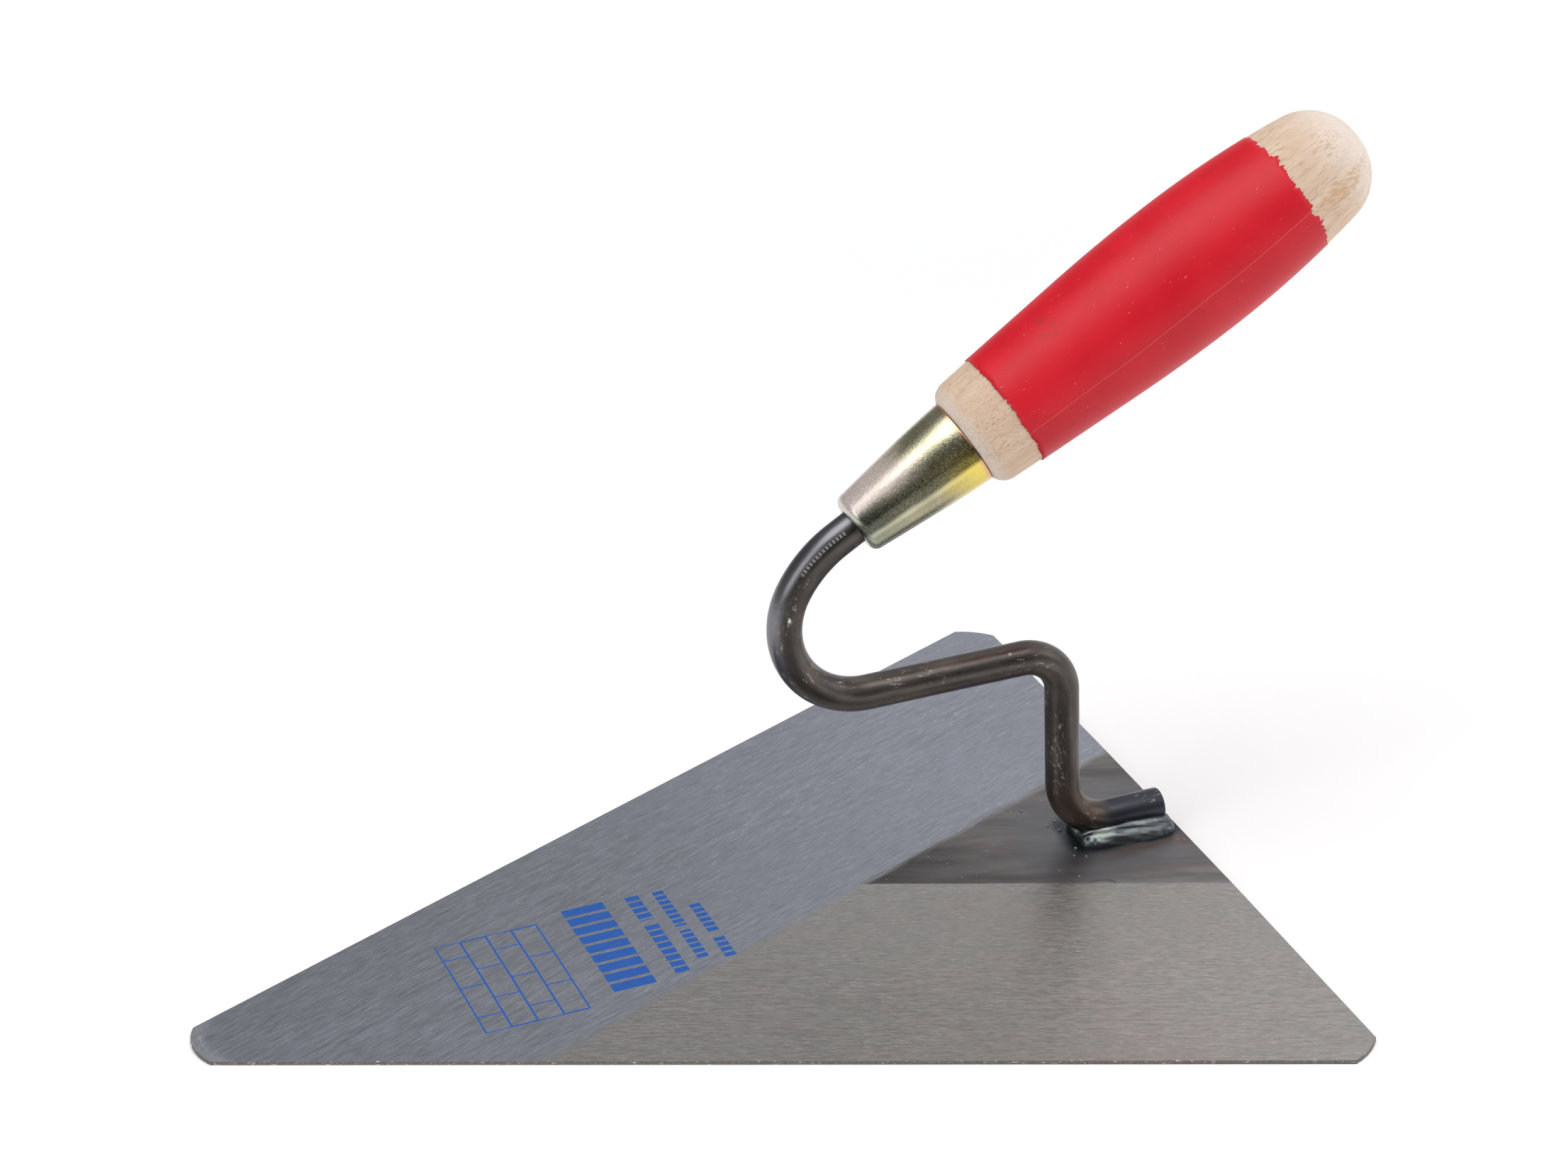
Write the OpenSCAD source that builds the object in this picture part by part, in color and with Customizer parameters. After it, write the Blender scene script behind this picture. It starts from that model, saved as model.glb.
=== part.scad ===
// Brick trowel: a taper-ground triangular blade, a bent round-bar neck welded
// to it at the heel, and a turned wooden handle driven onto the neck's tang.
//
// Origin: on the blade's underside, on its centre line, straight below the
// neck's upright. +X points to the blade's nose, +Z is up, and the trowel is
// the same on both sides of the plane y = 0.

/* [Blade] */
// Length from the heel edge to the end of the nose
blade_len = 280; // [230:1:340]
// Width of the heel, measured where the side edges would meet it
heel_w = 267; // [215:1:325]
// Width of the nose where its round end begins
nose_w = 17.8; // [12:0.2:26]
// How far the nose's round end stands out from its chord
nose_bulge = 2.4; // [1:0.1:5]
// How much of a side edge the heel corner's cut takes
corner_side = 10.4; // [5:0.1:20]
// How much of the heel edge the corner's cut takes
corner_heel = 11.7; // [5:0.1:20]
// How far the corner's cut stands out from its chord
corner_bulge = 0.9; // [0.3:0.1:2]
// Thickness of the plate where it isn't ground
plate_t = 2.3; // [1.6:0.1:3]
// Thickness left at the ground side edges
edge_t = 1.1; // [0.7:0.1:1.5]
// Width of the ground band along each side edge
ground_w = 85; // [40:1:100]

/* [Neck] */
// Diameter of the round bar
rod_d = 9.5; // [7.5:0.1:12]
// Gap between the heel edge and the end of the bar's foot
foot_inset = 3; // [1:0.1:8]
// Distance from the heel edge to the upright's centre line
upright_inset = 32.4; // [26:0.1:45]
// Bevel round the foot's cut end
foot_bevel = 0.7; // [0.2:0.1:1.5]
// Radius of the bend between foot and upright, on the bar's centre line
foot_bend_r = 14; // [8:0.1:18]
// Radius of the bend between upright and crossbar, on the bar's centre line
top_bend_r = 12; // [8:0.1:16]
// Height of the crossbar's centre line above the blade's underside
bar_h = 62.1; // [45:0.1:80]
// Distance from the upright's centre line to the centre of the big bend
bar_len = 56.8; // [40:0.1:75]
// Radius of the big bend, on the bar's centre line
throat_r = 22.8; // [18:0.1:32]
// Radius of the easier bend that leads from the big bend into the handle's line
ease_r = 34.6; // [20:0.1:60]
// How much of the whole turn the easier bend makes
ease_turn = 30; // [10:1:60]
// Angle between the handle and the blade
handle_angle = 30; // [15:0.5:45]
// Straight bar between the easier bend and the ferrule
throat_gap = 5.5; // [2:0.1:25]
// Length of the tapered tang inside the handle
tang_len = 78; // [45:1:95]
// Diameter of the tang's tip
tang_tip_d = 5; // [3:0.1:7]

/* [Welds] */
// Radius of each weld bead's rounded back
bead_r = 3.3; // [2.6:0.1:4.6]
// How far each bead reaches out past the bar's side
bead_reach = 2.85; // [1.5:0.05:3.5]
// Height of the bead's middle above the plate
bead_rise = 0.4; // [0:0.1:1.5]
// Length of each bead, over its round ends
bead_len = 26; // [16:0.5:32]
// Gap between the heel edge and the bead's rear end
bead_inset = 2.1; // [0.3:0.1:4]

/* [Ferrule] */
// Length of the ferrule
ferrule_len = 36.5; // [28:0.1:45]
// Outside diameter at its open mouth
ferrule_mouth_d = 24.3; // [22:0.1:29]
// Outside diameter where the skirt turns into the taper
ferrule_break_d = 22.7; // [20:0.1:27]
// Length of the skirt next to the handle
ferrule_skirt = 11; // [6:0.5:16]
// Outside diameter at the small end, before its edge is rounded
ferrule_nose_d = 17.3; // [15:0.1:20]
// Radius of the rounded edge at the small end
ferrule_nose_r = 2.5; // [1.5:0.1:3]
// Wall thickness
ferrule_wall = 1.0; // [0.6:0.1:1.5]

/* [Handle] */
// Length from the shoulder at the ferrule to the butt
handle_len = 130.8; // [105:0.1:160]
// Diameter of the collar at the shoulder
collar_d = 31; // [27:0.1:36]
// Radius of the collar's rounded front edge
collar_edge_r = 5; // [1:0.1:6]
// Largest diameter
belly_d = 39; // [36:0.1:47]
// Distance from the shoulder to the largest diameter
belly_at = 75.2; // [60:0.1:85]
// Length of the curved swell in front of the largest diameter
swell_len = 31; // [15:1:50]
// Radius of the long curve behind the largest diameter
tail_r = 280; // [200:5:500]
// Radius of the butt's round edge
butt_edge_r = 15; // [10:0.5:15.5]
// Radius of the butt's crown
crown_r = 26; // [22:0.5:60]
// Length of the turned-down spigot inside the ferrule
spigot_len = 26; // [15:0.5:30]

/* [Lacquer] */
// Distance from the shoulder to the front of the red band
lacquer_from = 13.4; // [8:0.1:30]
// Distance from the butt to the back of the red band
lacquer_to_butt = 23.8; // [18:0.1:40]
// Thickness of the coat
lacquer_t = 0.15; // [0.1:0.05:0.4]

/* [Fits] */
// Gap between bar and ferrule hole, all round
ferrule_hole_gap = 0.1; // [0.05:0.05:0.4]
// Gap between tang and wood, all round
tang_gap = 0.1; // [0.05:0.05:0.3]
// Gap between spigot and ferrule wall, all round
spigot_gap = 0.1; // [0.05:0.05:0.3]
// Empty depth of the bore beyond the tang's tip
end_gap = 1.5; // [0.5:0.1:4]

/* [Hidden] */

$fn = 96;
// Steps in each arc of the handle's turned outline
arc_steps = 14;
// Extra reach of a cutting shape past the face it cuts
cut = 1;
// Width of the hair-thin ring where two slanted stretches of the bar meet
seam_w = 0.2;
// How far that ring stands out from the bar
seam_proud = 0.01;

steel_grey = [0.56, 0.57, 0.59];
scale_brown = [0.22, 0.20, 0.18];
bead_grey = [0.30, 0.34, 0.35];
chromate_gold = [0.72, 0.68, 0.42];
bare_beech = [0.85, 0.71, 0.58];
lacquer_red = [0.80, 0.08, 0.11];

heel_x = -upright_inset;
chord_x = heel_x + blade_len - nose_bulge;
side_angle = atan2((heel_w - nose_w) / 2, chord_x - heel_x);

rod_r = rod_d / 2;
foot_h = plate_t + rod_r;
full_turn = 180 - handle_angle;
throat_turn = full_turn - ease_turn;
throat_centre = [bar_len, bar_h + throat_r];
ease_centre = throat_centre + (throat_r - ease_r) * [sin(throat_turn), -cos(throat_turn)];
ferrule_start = ease_centre + ease_r * [sin(full_turn), -cos(full_turn)]
    + throat_gap * [cos(full_turn), sin(full_turn)];

belly_r = belly_d / 2;
collar_r = collar_d / 2;
swell_slope = atan((belly_r - collar_r) / (belly_at - swell_len / 2));
swell_r = swell_len / sin(swell_slope);
tail_centre = [belly_at, belly_r - tail_r];
crown_centre = [handle_len - crown_r, 0];
butt_centre = circles_meet(tail_centre, tail_r - butt_edge_r, crown_centre, crown_r - butt_edge_r);
tail_end = angle_to(tail_centre, butt_centre);
crown_start = angle_to(crown_centre, butt_centre);

// Points of an arc, from angle a0 to angle a1
function arc(centre, r, a0, a1) =
    [for (i = [0:arc_steps]) let (a = a0 + (a1 - a0) * i / arc_steps) centre + r * [cos(a), sin(a)]];

// Direction from one point to another
function angle_to(p, q) = atan2(q.y - p.y, q.x - p.x);

// The meeting point of two circles that lies clockwise from the first centre
function circles_meet(p, rp, q, rq) =
    let (
        gap = norm(q - p),
        along = (rp * rp - rq * rq + gap * gap) / (2 * gap),
        aside = sqrt(max(0, rp * rp - along * along)),
        way = (q - p) / gap
    )
    p + along * way + aside * [way.y, -way.x];

// The handle's outline behind the collar's edge, as [distance from shoulder, radius]
handle_curve = concat(
    arc([collar_edge_r, collar_r - collar_edge_r], collar_edge_r, 180, 90 + swell_slope),
    arc([belly_at, belly_r - swell_r], swell_r, 90 + swell_slope, 90),
    arc(tail_centre, tail_r, 90, tail_end),
    arc(butt_centre, butt_edge_r, tail_end, crown_start),
    arc(crown_centre, crown_r, crown_start, 0)
);

// Stands on the handle's axis, with z = 0 at the ferrule's small end and +Z towards the butt
module on_handle_axis() {
    translate([ferrule_start.x, 0, ferrule_start.y]) rotate([0, handle_angle - 90, 0]) children();
}

// Turns an outline of [distance along the axis, radius] points about the handle's axis
module turned(outline) {
    rotate_extrude() polygon([for (p = outline) [p.y, p.x]]);
}

// What lies outside an arc that runs from p to q and stands out from its chord on the right
module outside_arc(p, q, bulge) {
    half = norm(q - p) / 2;
    r = (half * half + bulge * bulge) / (2 * bulge);
    translate((p + q) / 2) rotate(angle_to(p, q)) difference() {
        translate([-2 * half, -4 * half]) square([4 * half, 4 * half + cut]);
        translate([0, r - bulge]) circle(r);
    }
}

// A triangle with its nose and heel corners rounded off
module blade_outline() {
    nose = [chord_x, nose_w / 2];
    side_cut = [heel_x, heel_w / 2] + corner_side * [cos(side_angle), -sin(side_angle)];
    heel_cut = [heel_x, heel_w / 2 - corner_heel];
    difference() {
        polygon([[chord_x + nose.y / tan(side_angle), 0], [heel_x, heel_w / 2], [heel_x, -heel_w / 2]]);
        outside_arc([nose.x, -nose.y], nose, nose_bulge);
        for (side = [0, 1]) mirror([0, side]) outside_arc(side_cut, heel_cut, corner_bulge);
    }
}

// What grinding takes off the top along the left side edge
module ground_off() {
    fall = (plate_t - edge_t) / ground_w;
    above = plate_t + cut;
    section = [[-ground_w, plate_t], [cut, edge_t - fall * cut], [cut, above], [-ground_w, above]];
    translate([heel_x, heel_w / 2, 0]) rotate([0, 0, -side_angle]) translate([-heel_w, 0, 0])
        rotate([90, 0, 90]) linear_extrude(blade_len + 2 * heel_w) polygon(section);
}

module blade() {
    color(steel_grey) difference() {
        linear_extrude(plate_t) blade_outline();
        ground_off();
        mirror([0, 1, 0]) ground_off();
    }
}

// A bend of the bar in the plane y = 0, round a centre, from one angle to another
module bend(centre, r, from, turn) {
    translate([centre.x, 0, centre.y]) rotate([90, 0, 0]) rotate([0, 0, turn < 0 ? from + turn : from])
        rotate_extrude(angle = abs(turn)) translate([r, 0]) circle(rod_r);
}

// Makes two stretches of the bar one solid, after a turn round a bend's centre
module seam(centre, r, turned_by) {
    translate([centre.x + r * sin(turned_by), 0, centre.y - r * cos(turned_by)])
        rotate([0, 90 - turned_by, 0])
            cylinder(h = seam_w, r = rod_r + seam_proud, center = true);
}

// The straight foot, lying along the plate, with its cut end bevelled
module foot() {
    foot_end = heel_x + foot_inset;
    foot_len = -foot_bend_r - foot_end;
    translate([foot_end, 0, foot_h]) rotate([0, 90, 0]) {
        cylinder(h = foot_bevel, r1 = rod_r - foot_bevel, r2 = rod_r);
        translate([0, 0, foot_bevel]) cylinder(h = foot_len - foot_bevel, r = rod_r);
    }
}

module neck() {
    foot_top = foot_h + foot_bend_r;
    upright_top = bar_h - top_bend_r;
    inside_len = throat_gap + ferrule_len;
    color(scale_brown) {
        foot();
        bend([-foot_bend_r, foot_top], foot_bend_r, 0, -90);
        translate([0, 0, foot_top]) cylinder(h = upright_top - foot_top, r = rod_r);
        bend([top_bend_r, upright_top], top_bend_r, 180, -90);
        translate([top_bend_r, 0, bar_h]) rotate([0, 90, 0]) cylinder(h = bar_len - top_bend_r, r = rod_r);
        bend(throat_centre, throat_r, -90, throat_turn);
        seam(throat_centre, throat_r, throat_turn);
        bend(ease_centre, ease_r, throat_turn - 90, ease_turn);
        seam(ease_centre, ease_r, full_turn);
        on_handle_axis() {
            translate([0, 0, -throat_gap]) cylinder(h = inside_len, r = rod_r);
            translate([0, 0, ferrule_len]) cylinder(h = tang_len, r1 = rod_r, r2 = tang_tip_d / 2);
        }
    }
}

// A round-backed bead in the corner between the foot and the plate, on the left
module weld_bead() {
    straight = bead_len - 2 * bead_r;
    bead_side = rod_r + bead_reach - bead_r;
    difference() {
        translate([heel_x + bead_inset + bead_r, bead_side, plate_t + bead_rise]) {
            sphere(bead_r);
            rotate([0, 90, 0]) cylinder(h = straight, r = bead_r);
            translate([straight, 0, 0]) sphere(bead_r);
        }
        translate([heel_x - blade_len, -heel_w, plate_t - 2 * bead_r])
            cube([2 * blade_len, 2 * heel_w, 2 * bead_r]);
        translate([heel_x, 0, foot_h]) rotate([0, 90, 0])
            cylinder(h = upright_inset - foot_bend_r, r = rod_r);
        bend([-foot_bend_r, foot_h + foot_bend_r], foot_bend_r, 0, -90);
    }
}

module weld_left() {
    color(bead_grey) weld_bead();
}

module weld_right() {
    color(bead_grey) mirror([0, 1, 0]) weld_bead();
}

// The ferrule's outline from its small end to its mouth, moved inwards by a wall
function ferrule_curve(wall) =
    let (
        nose_r = ferrule_nose_d / 2 - wall,
        edge_r = max(0.1, ferrule_nose_r - wall)
    )
    concat(
        [[wall, 0]],
        arc([wall + edge_r, nose_r - edge_r], edge_r, 180, 90),
        [[ferrule_len - ferrule_skirt, ferrule_break_d / 2 - wall]]
    );

module ferrule() {
    hole_r = rod_r + ferrule_hole_gap;
    outside = concat(ferrule_curve(0), [[ferrule_len, ferrule_mouth_d / 2], [ferrule_len, 0]]);
    lip = ferrule_len + cut;
    inside = concat(ferrule_curve(ferrule_wall), [[lip, ferrule_mouth_d / 2 - ferrule_wall], [lip, 0]]);
    color(chromate_gold) on_handle_axis() difference() {
        turned(outside);
        turned(inside);
        translate([0, 0, -cut]) cylinder(h = ferrule_wall + 2 * cut, r = hole_r);
    }
}

// The wood of the handle, before it is bored for the tang
module handle_blank() {
    spigot_front = ferrule_len - spigot_len;
    hollow = ferrule_wall + spigot_gap;
    taper_back = ferrule_len - ferrule_skirt;
    taper_fall = (ferrule_break_d - ferrule_nose_d) / 2 / (taper_back - ferrule_nose_r);
    spigot_r = ferrule_break_d / 2 - hollow - taper_fall * (taper_back - spigot_front);
    translate([0, 0, ferrule_len]) turned(concat([[0, 0]], handle_curve));
    turned([
        [spigot_front, 0],
        [spigot_front, spigot_r],
        [taper_back, ferrule_break_d / 2 - hollow],
        [ferrule_len, ferrule_mouth_d / 2 - hollow],
        [ferrule_len, 0]
    ]);
}

module handle() {
    color(bare_beech) on_handle_axis() difference() {
        handle_blank();
        translate([0, 0, ferrule_len - spigot_len - cut])
            cylinder(h = spigot_len + cut, r = rod_r + tang_gap);
        translate([0, 0, ferrule_len])
            cylinder(h = tang_len + end_gap, r1 = rod_r + tang_gap, r2 = tang_tip_d / 2 + tang_gap);
    }
}

module lacquer_band() {
    last = handle_len - lacquer_to_butt;
    color(lacquer_red) on_handle_axis() translate([0, 0, ferrule_len]) intersection() {
        difference() {
            turned(concat([[0, 0]], [for (p = handle_curve) p + [0, lacquer_t]], [[handle_len, 0]]));
            turned(concat([[0, 0]], handle_curve));
        }
        translate([0, 0, lacquer_from]) cylinder(h = last - lacquer_from, r = belly_d);
    }
}

blade();
neck();
weld_left();
weld_right();
ferrule();
handle();
lacquer_band();
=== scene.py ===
import math

import bmesh
import bpy
from mathutils import Euler, Matrix, Vector, noise


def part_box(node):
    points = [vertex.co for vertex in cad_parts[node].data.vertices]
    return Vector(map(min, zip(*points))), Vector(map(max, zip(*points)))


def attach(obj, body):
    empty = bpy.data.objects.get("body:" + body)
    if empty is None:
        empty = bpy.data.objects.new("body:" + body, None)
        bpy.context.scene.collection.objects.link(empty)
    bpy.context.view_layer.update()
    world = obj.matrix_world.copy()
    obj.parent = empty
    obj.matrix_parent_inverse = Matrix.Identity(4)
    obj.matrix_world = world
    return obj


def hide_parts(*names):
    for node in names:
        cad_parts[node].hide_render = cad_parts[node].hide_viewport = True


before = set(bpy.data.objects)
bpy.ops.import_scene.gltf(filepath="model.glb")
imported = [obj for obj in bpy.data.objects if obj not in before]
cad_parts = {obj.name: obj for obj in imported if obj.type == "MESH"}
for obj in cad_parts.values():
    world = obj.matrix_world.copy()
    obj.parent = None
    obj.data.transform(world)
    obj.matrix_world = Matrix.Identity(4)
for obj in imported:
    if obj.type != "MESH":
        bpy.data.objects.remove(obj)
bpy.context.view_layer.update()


# ---- Blade ----
# A triangular plate of hardened steel, sheared to shape and ground thinner in a band along each
# side edge. The bands are linished one after the other, the far one last, over the whole nose,
# and the heel keeps its mill scale, tinted by the heat of the welding.

mm = 0.001
blade_low, blade_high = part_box("blade")
heel = blade_low.x / mm
heel_half = 133.5  # half the heel's width, where the side edges would meet it
nose_half = 8.9
nose_chord = blade_high.x / mm - 2.4
nose_centre = 229.9  # the middle of the nose's round edge
side_angle = math.atan2(heel_half - nose_half, nose_chord - heel)
band_far = 84.6  # width of the band along the far edge
band_near = 85.7
rim_bevel = 0.12 * mm
weld_middle = -17  # the middle of the heat-tinted patch round the welds
weld_half = 13

steel_blue = (0.405, 0.424, 0.482)
steel_warm = (0.448, 0.418, 0.402)
steel_green = (0.425, 0.422, 0.400)
scale_dark = (0.145, 0.137, 0.138)
scale_tan = (0.29, 0.276, 0.270)
tint_black = (0.055, 0.06, 0.072)
tint_rust = (0.17, 0.115, 0.09)
tint_blue = (0.195, 0.20, 0.212)
ink_blue = (0.0, 0.082, 0.37)


class Wire:
    """A socket in a material. Arithmetic on it adds Math nodes, and node() adds any other kind."""

    def __init__(self, tree, socket=None):
        self.tree = tree
        self.socket = socket

    def node(self, kind, settings=(), sockets=(), out=0):
        """Adds a node: its type, then its settings, then the values or links of its sockets."""
        made = self.tree.nodes.new("ShaderNode" + kind)
        for name, value in dict(settings).items():
            if name == "stops":
                stops = made.color_ramp.elements
                stops[0].position, stops[1].position = value[0][0], value[-1][0]
                stops[0].color, stops[1].color = (*value[0][1], 1), (*value[-1][1], 1)
                for place, colour in value[1:-1]:
                    stops.new(place).color = (*colour, 1)
            else:
                setattr(made, name, value)
        for name, value in dict(sockets).items():
            if isinstance(value, Wire):
                self.tree.links.new(value.socket, made.inputs[name])
            elif hasattr(value, "__len__") and len(value) < len(made.inputs[name].default_value):
                made.inputs[name].default_value = (*value, 1)
            else:
                made.inputs[name].default_value = value
        return Wire(self.tree, made.outputs[out] if made.outputs else None)

    def math(self, operation, *others):
        return self.node("Math", {"operation": operation}, dict(enumerate((self, *others))))

    def __add__(self, other):
        return self.math("ADD", other)

    def __sub__(self, other):
        return self.math("SUBTRACT", other)

    def __rsub__(self, other):
        return self.node("Math", {"operation": "SUBTRACT"}, {0: other, 1: self})

    def __mul__(self, other):
        return self.math("MULTIPLY", other)

    __radd__ = __add__
    __rmul__ = __mul__

    def __abs__(self):
        return self.math("ABSOLUTE")

    def least(self, other):
        return self.math("MINIMUM", other)

    def most(self, other):
        return self.math("MAXIMUM", other)

    def smooth(self, low, high):
        """0 at low, 1 at high, and an S-shaped rise between them."""
        limits = {"Value": self, "From Min": low, "From Max": high}
        return self.node("MapRange", {"interpolation_type": "SMOOTHSTEP"}, limits)

    def mix(self, low, high):
        """A colour, from low where this is 0 to high where it is 1."""
        return self.node("Mix", {"data_type": "RGBA"}, {0: self, 6: low, 7: high}, 2)

    def blend(self, low, high):
        """A number, from low where this is 0 to high where it is 1."""
        return self.node("Mix", (), {0: self, 2: low, 3: high})

    def tone(self, strength):
        """This colour made lighter or darker by a factor."""
        return self.node("VectorMath", {"operation": "SCALE"}, {0: self, "Scale": strength})

    def xyz(self):
        split = self.node("SeparateXYZ", (), {0: self}).socket.node
        return [Wire(self.tree, socket) for socket in split.outputs]

    def seen_from(self, origin=(0, 0, 0), turn=(0, 0, 0), size=(1, 1, 1)):
        """These coordinates in a frame with its own origin and turn, counted in cells of a size."""
        place = {"Vector": self, "Location": origin, "Rotation": turn, "Scale": size}
        return self.node("Mapping", {"vector_type": "TEXTURE"}, place)

    def noise(self, size=1.0, detail=2.0, rough=0.5):
        """Noise from 0 to 1 with cells of about that size."""
        made = {"Vector": self, "Scale": 1 / size, "Detail": detail, "Roughness": rough}
        return self.node("TexNoise", (), made)

    def bump(self, depth, below=None):
        """The normal of a surface that rises by depth, in metres, where this goes from 0 to 1."""
        sockets = {"Height": self, "Distance": depth, "Strength": 1.0}
        if below is not None:
            sockets["Normal"] = below
        return self.node("Bump", (), sockets)


def new_material(name):
    """An empty material, and its object coordinates in millimetres."""
    made = bpy.data.materials.new(name)
    made.use_nodes = True
    made.node_tree.nodes.clear()
    place = Wire(made.node_tree).node("TexCoord", out="Object")
    return made, place.tone(1 / mm)


def coat(place, **sockets):
    """Ends a material in one Principled surface with those sockets."""
    named = {name.replace("_", " "): value for name, value in sockets.items()}
    surface = place.node("BsdfPrincipled", (), named)
    place.node("OutputMaterial", (), {"Surface": surface})


def finish_piece(bm, name, materials, slot, *nodes):
    """Turns a bmesh into a shaded piece that rides on the trowel and stands for CAD nodes."""
    mesh = bpy.data.meshes.new(name)
    bm.to_mesh(mesh)
    bm.free()
    piece = bpy.data.objects.new(name, mesh)
    bpy.context.scene.collection.objects.link(piece)
    for material in materials:
        mesh.materials.append(material)
    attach(piece, "root")
    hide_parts(*nodes)
    return piece


def strokes(place, turn, length=14, width=0.3):
    """Linishing marks from 0 to 1, as noise drawn out along one direction of the plate."""
    fine = place.seen_from(turn=(0, 0, turn), size=(length, width, 1))
    fine = fine.noise(detail=3, rough=0.6)
    short = place.seen_from(turn=(0, 0, turn), size=(length / 3, width * 1.6, 1))
    short = short.noise(detail=2, rough=0.6)
    return (fine * 0.55 + short * 0.45).smooth(0.32, 0.68)


def glints(place, turn, dense):
    """Sparse short scratches, painted lighter as glints where they catch the light."""
    marks = place.seen_from(turn=(0, 0, turn), size=(2.6, 0.26, 1)).noise(detail=1)
    where = place.noise(23)
    return marks.smooth(0.66, 0.76) * where.smooth(0.30, 0.60) * dense


def course(across, along, low, high, start, count, pitch, gap):
    """A row of printed bars, laid side by side like bricks in a wall."""
    row = across.smooth(low - 0.08, low + 0.08) * across.smooth(high + 0.08, high - 0.08)
    middle = start + count * pitch / 2
    row = row * abs(along - middle).smooth(count * pitch / 2 + 0.08, count * pitch / 2 - 0.08)
    return row * (along - start).math("PINGPONG", pitch / 2).smooth(gap / 2 - 0.08, gap / 2 + 0.08)


def blade_print(x, y):
    """A plain mark in blue ink: a wall in outline, a soldier course and three thin courses."""
    wall = abs(x - 161.5).smooth(14.6, 14.44) * abs(y - 3).smooth(23.1, 22.94)
    bricks = course(x, y, 147.5, 154.0, -19.6, 3, 15.07, 0.55)
    bricks = bricks + course(x, y, 154.6, 161.2, -19.6 - 7.53, 4, 15.07, 0.55)
    bricks = bricks + course(x, y, 161.8, 168.4, -19.6, 3, 15.07, 0.55)
    bricks = bricks + course(x, y, 169.0, 175.5, -19.6 - 7.53, 4, 15.07, 0.55)
    outline = wall * (1 - bricks * abs(y - 3).smooth(22.65, 22.49))
    soldiers = course(x, y, 127, 139, -24, 9, 5.1, 1.2)
    thin = course(x, y, 117, 121, -23, 13, 3.3, 0.8) * abs(y + 7.5).smooth(1.3, 1.46)
    thin = thin + course(x, y, 110, 113.2, -22.5, 14, 2.7, 0.7) * abs(y + 1).smooth(1.1, 1.26)
    thin = thin + course(x, y, 103, 106.2, -12, 11, 2.7, 0.7) * abs(y - 5.5).smooth(1.1, 1.26)
    return (outline + soldiers + thin).least(1.0)


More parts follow.
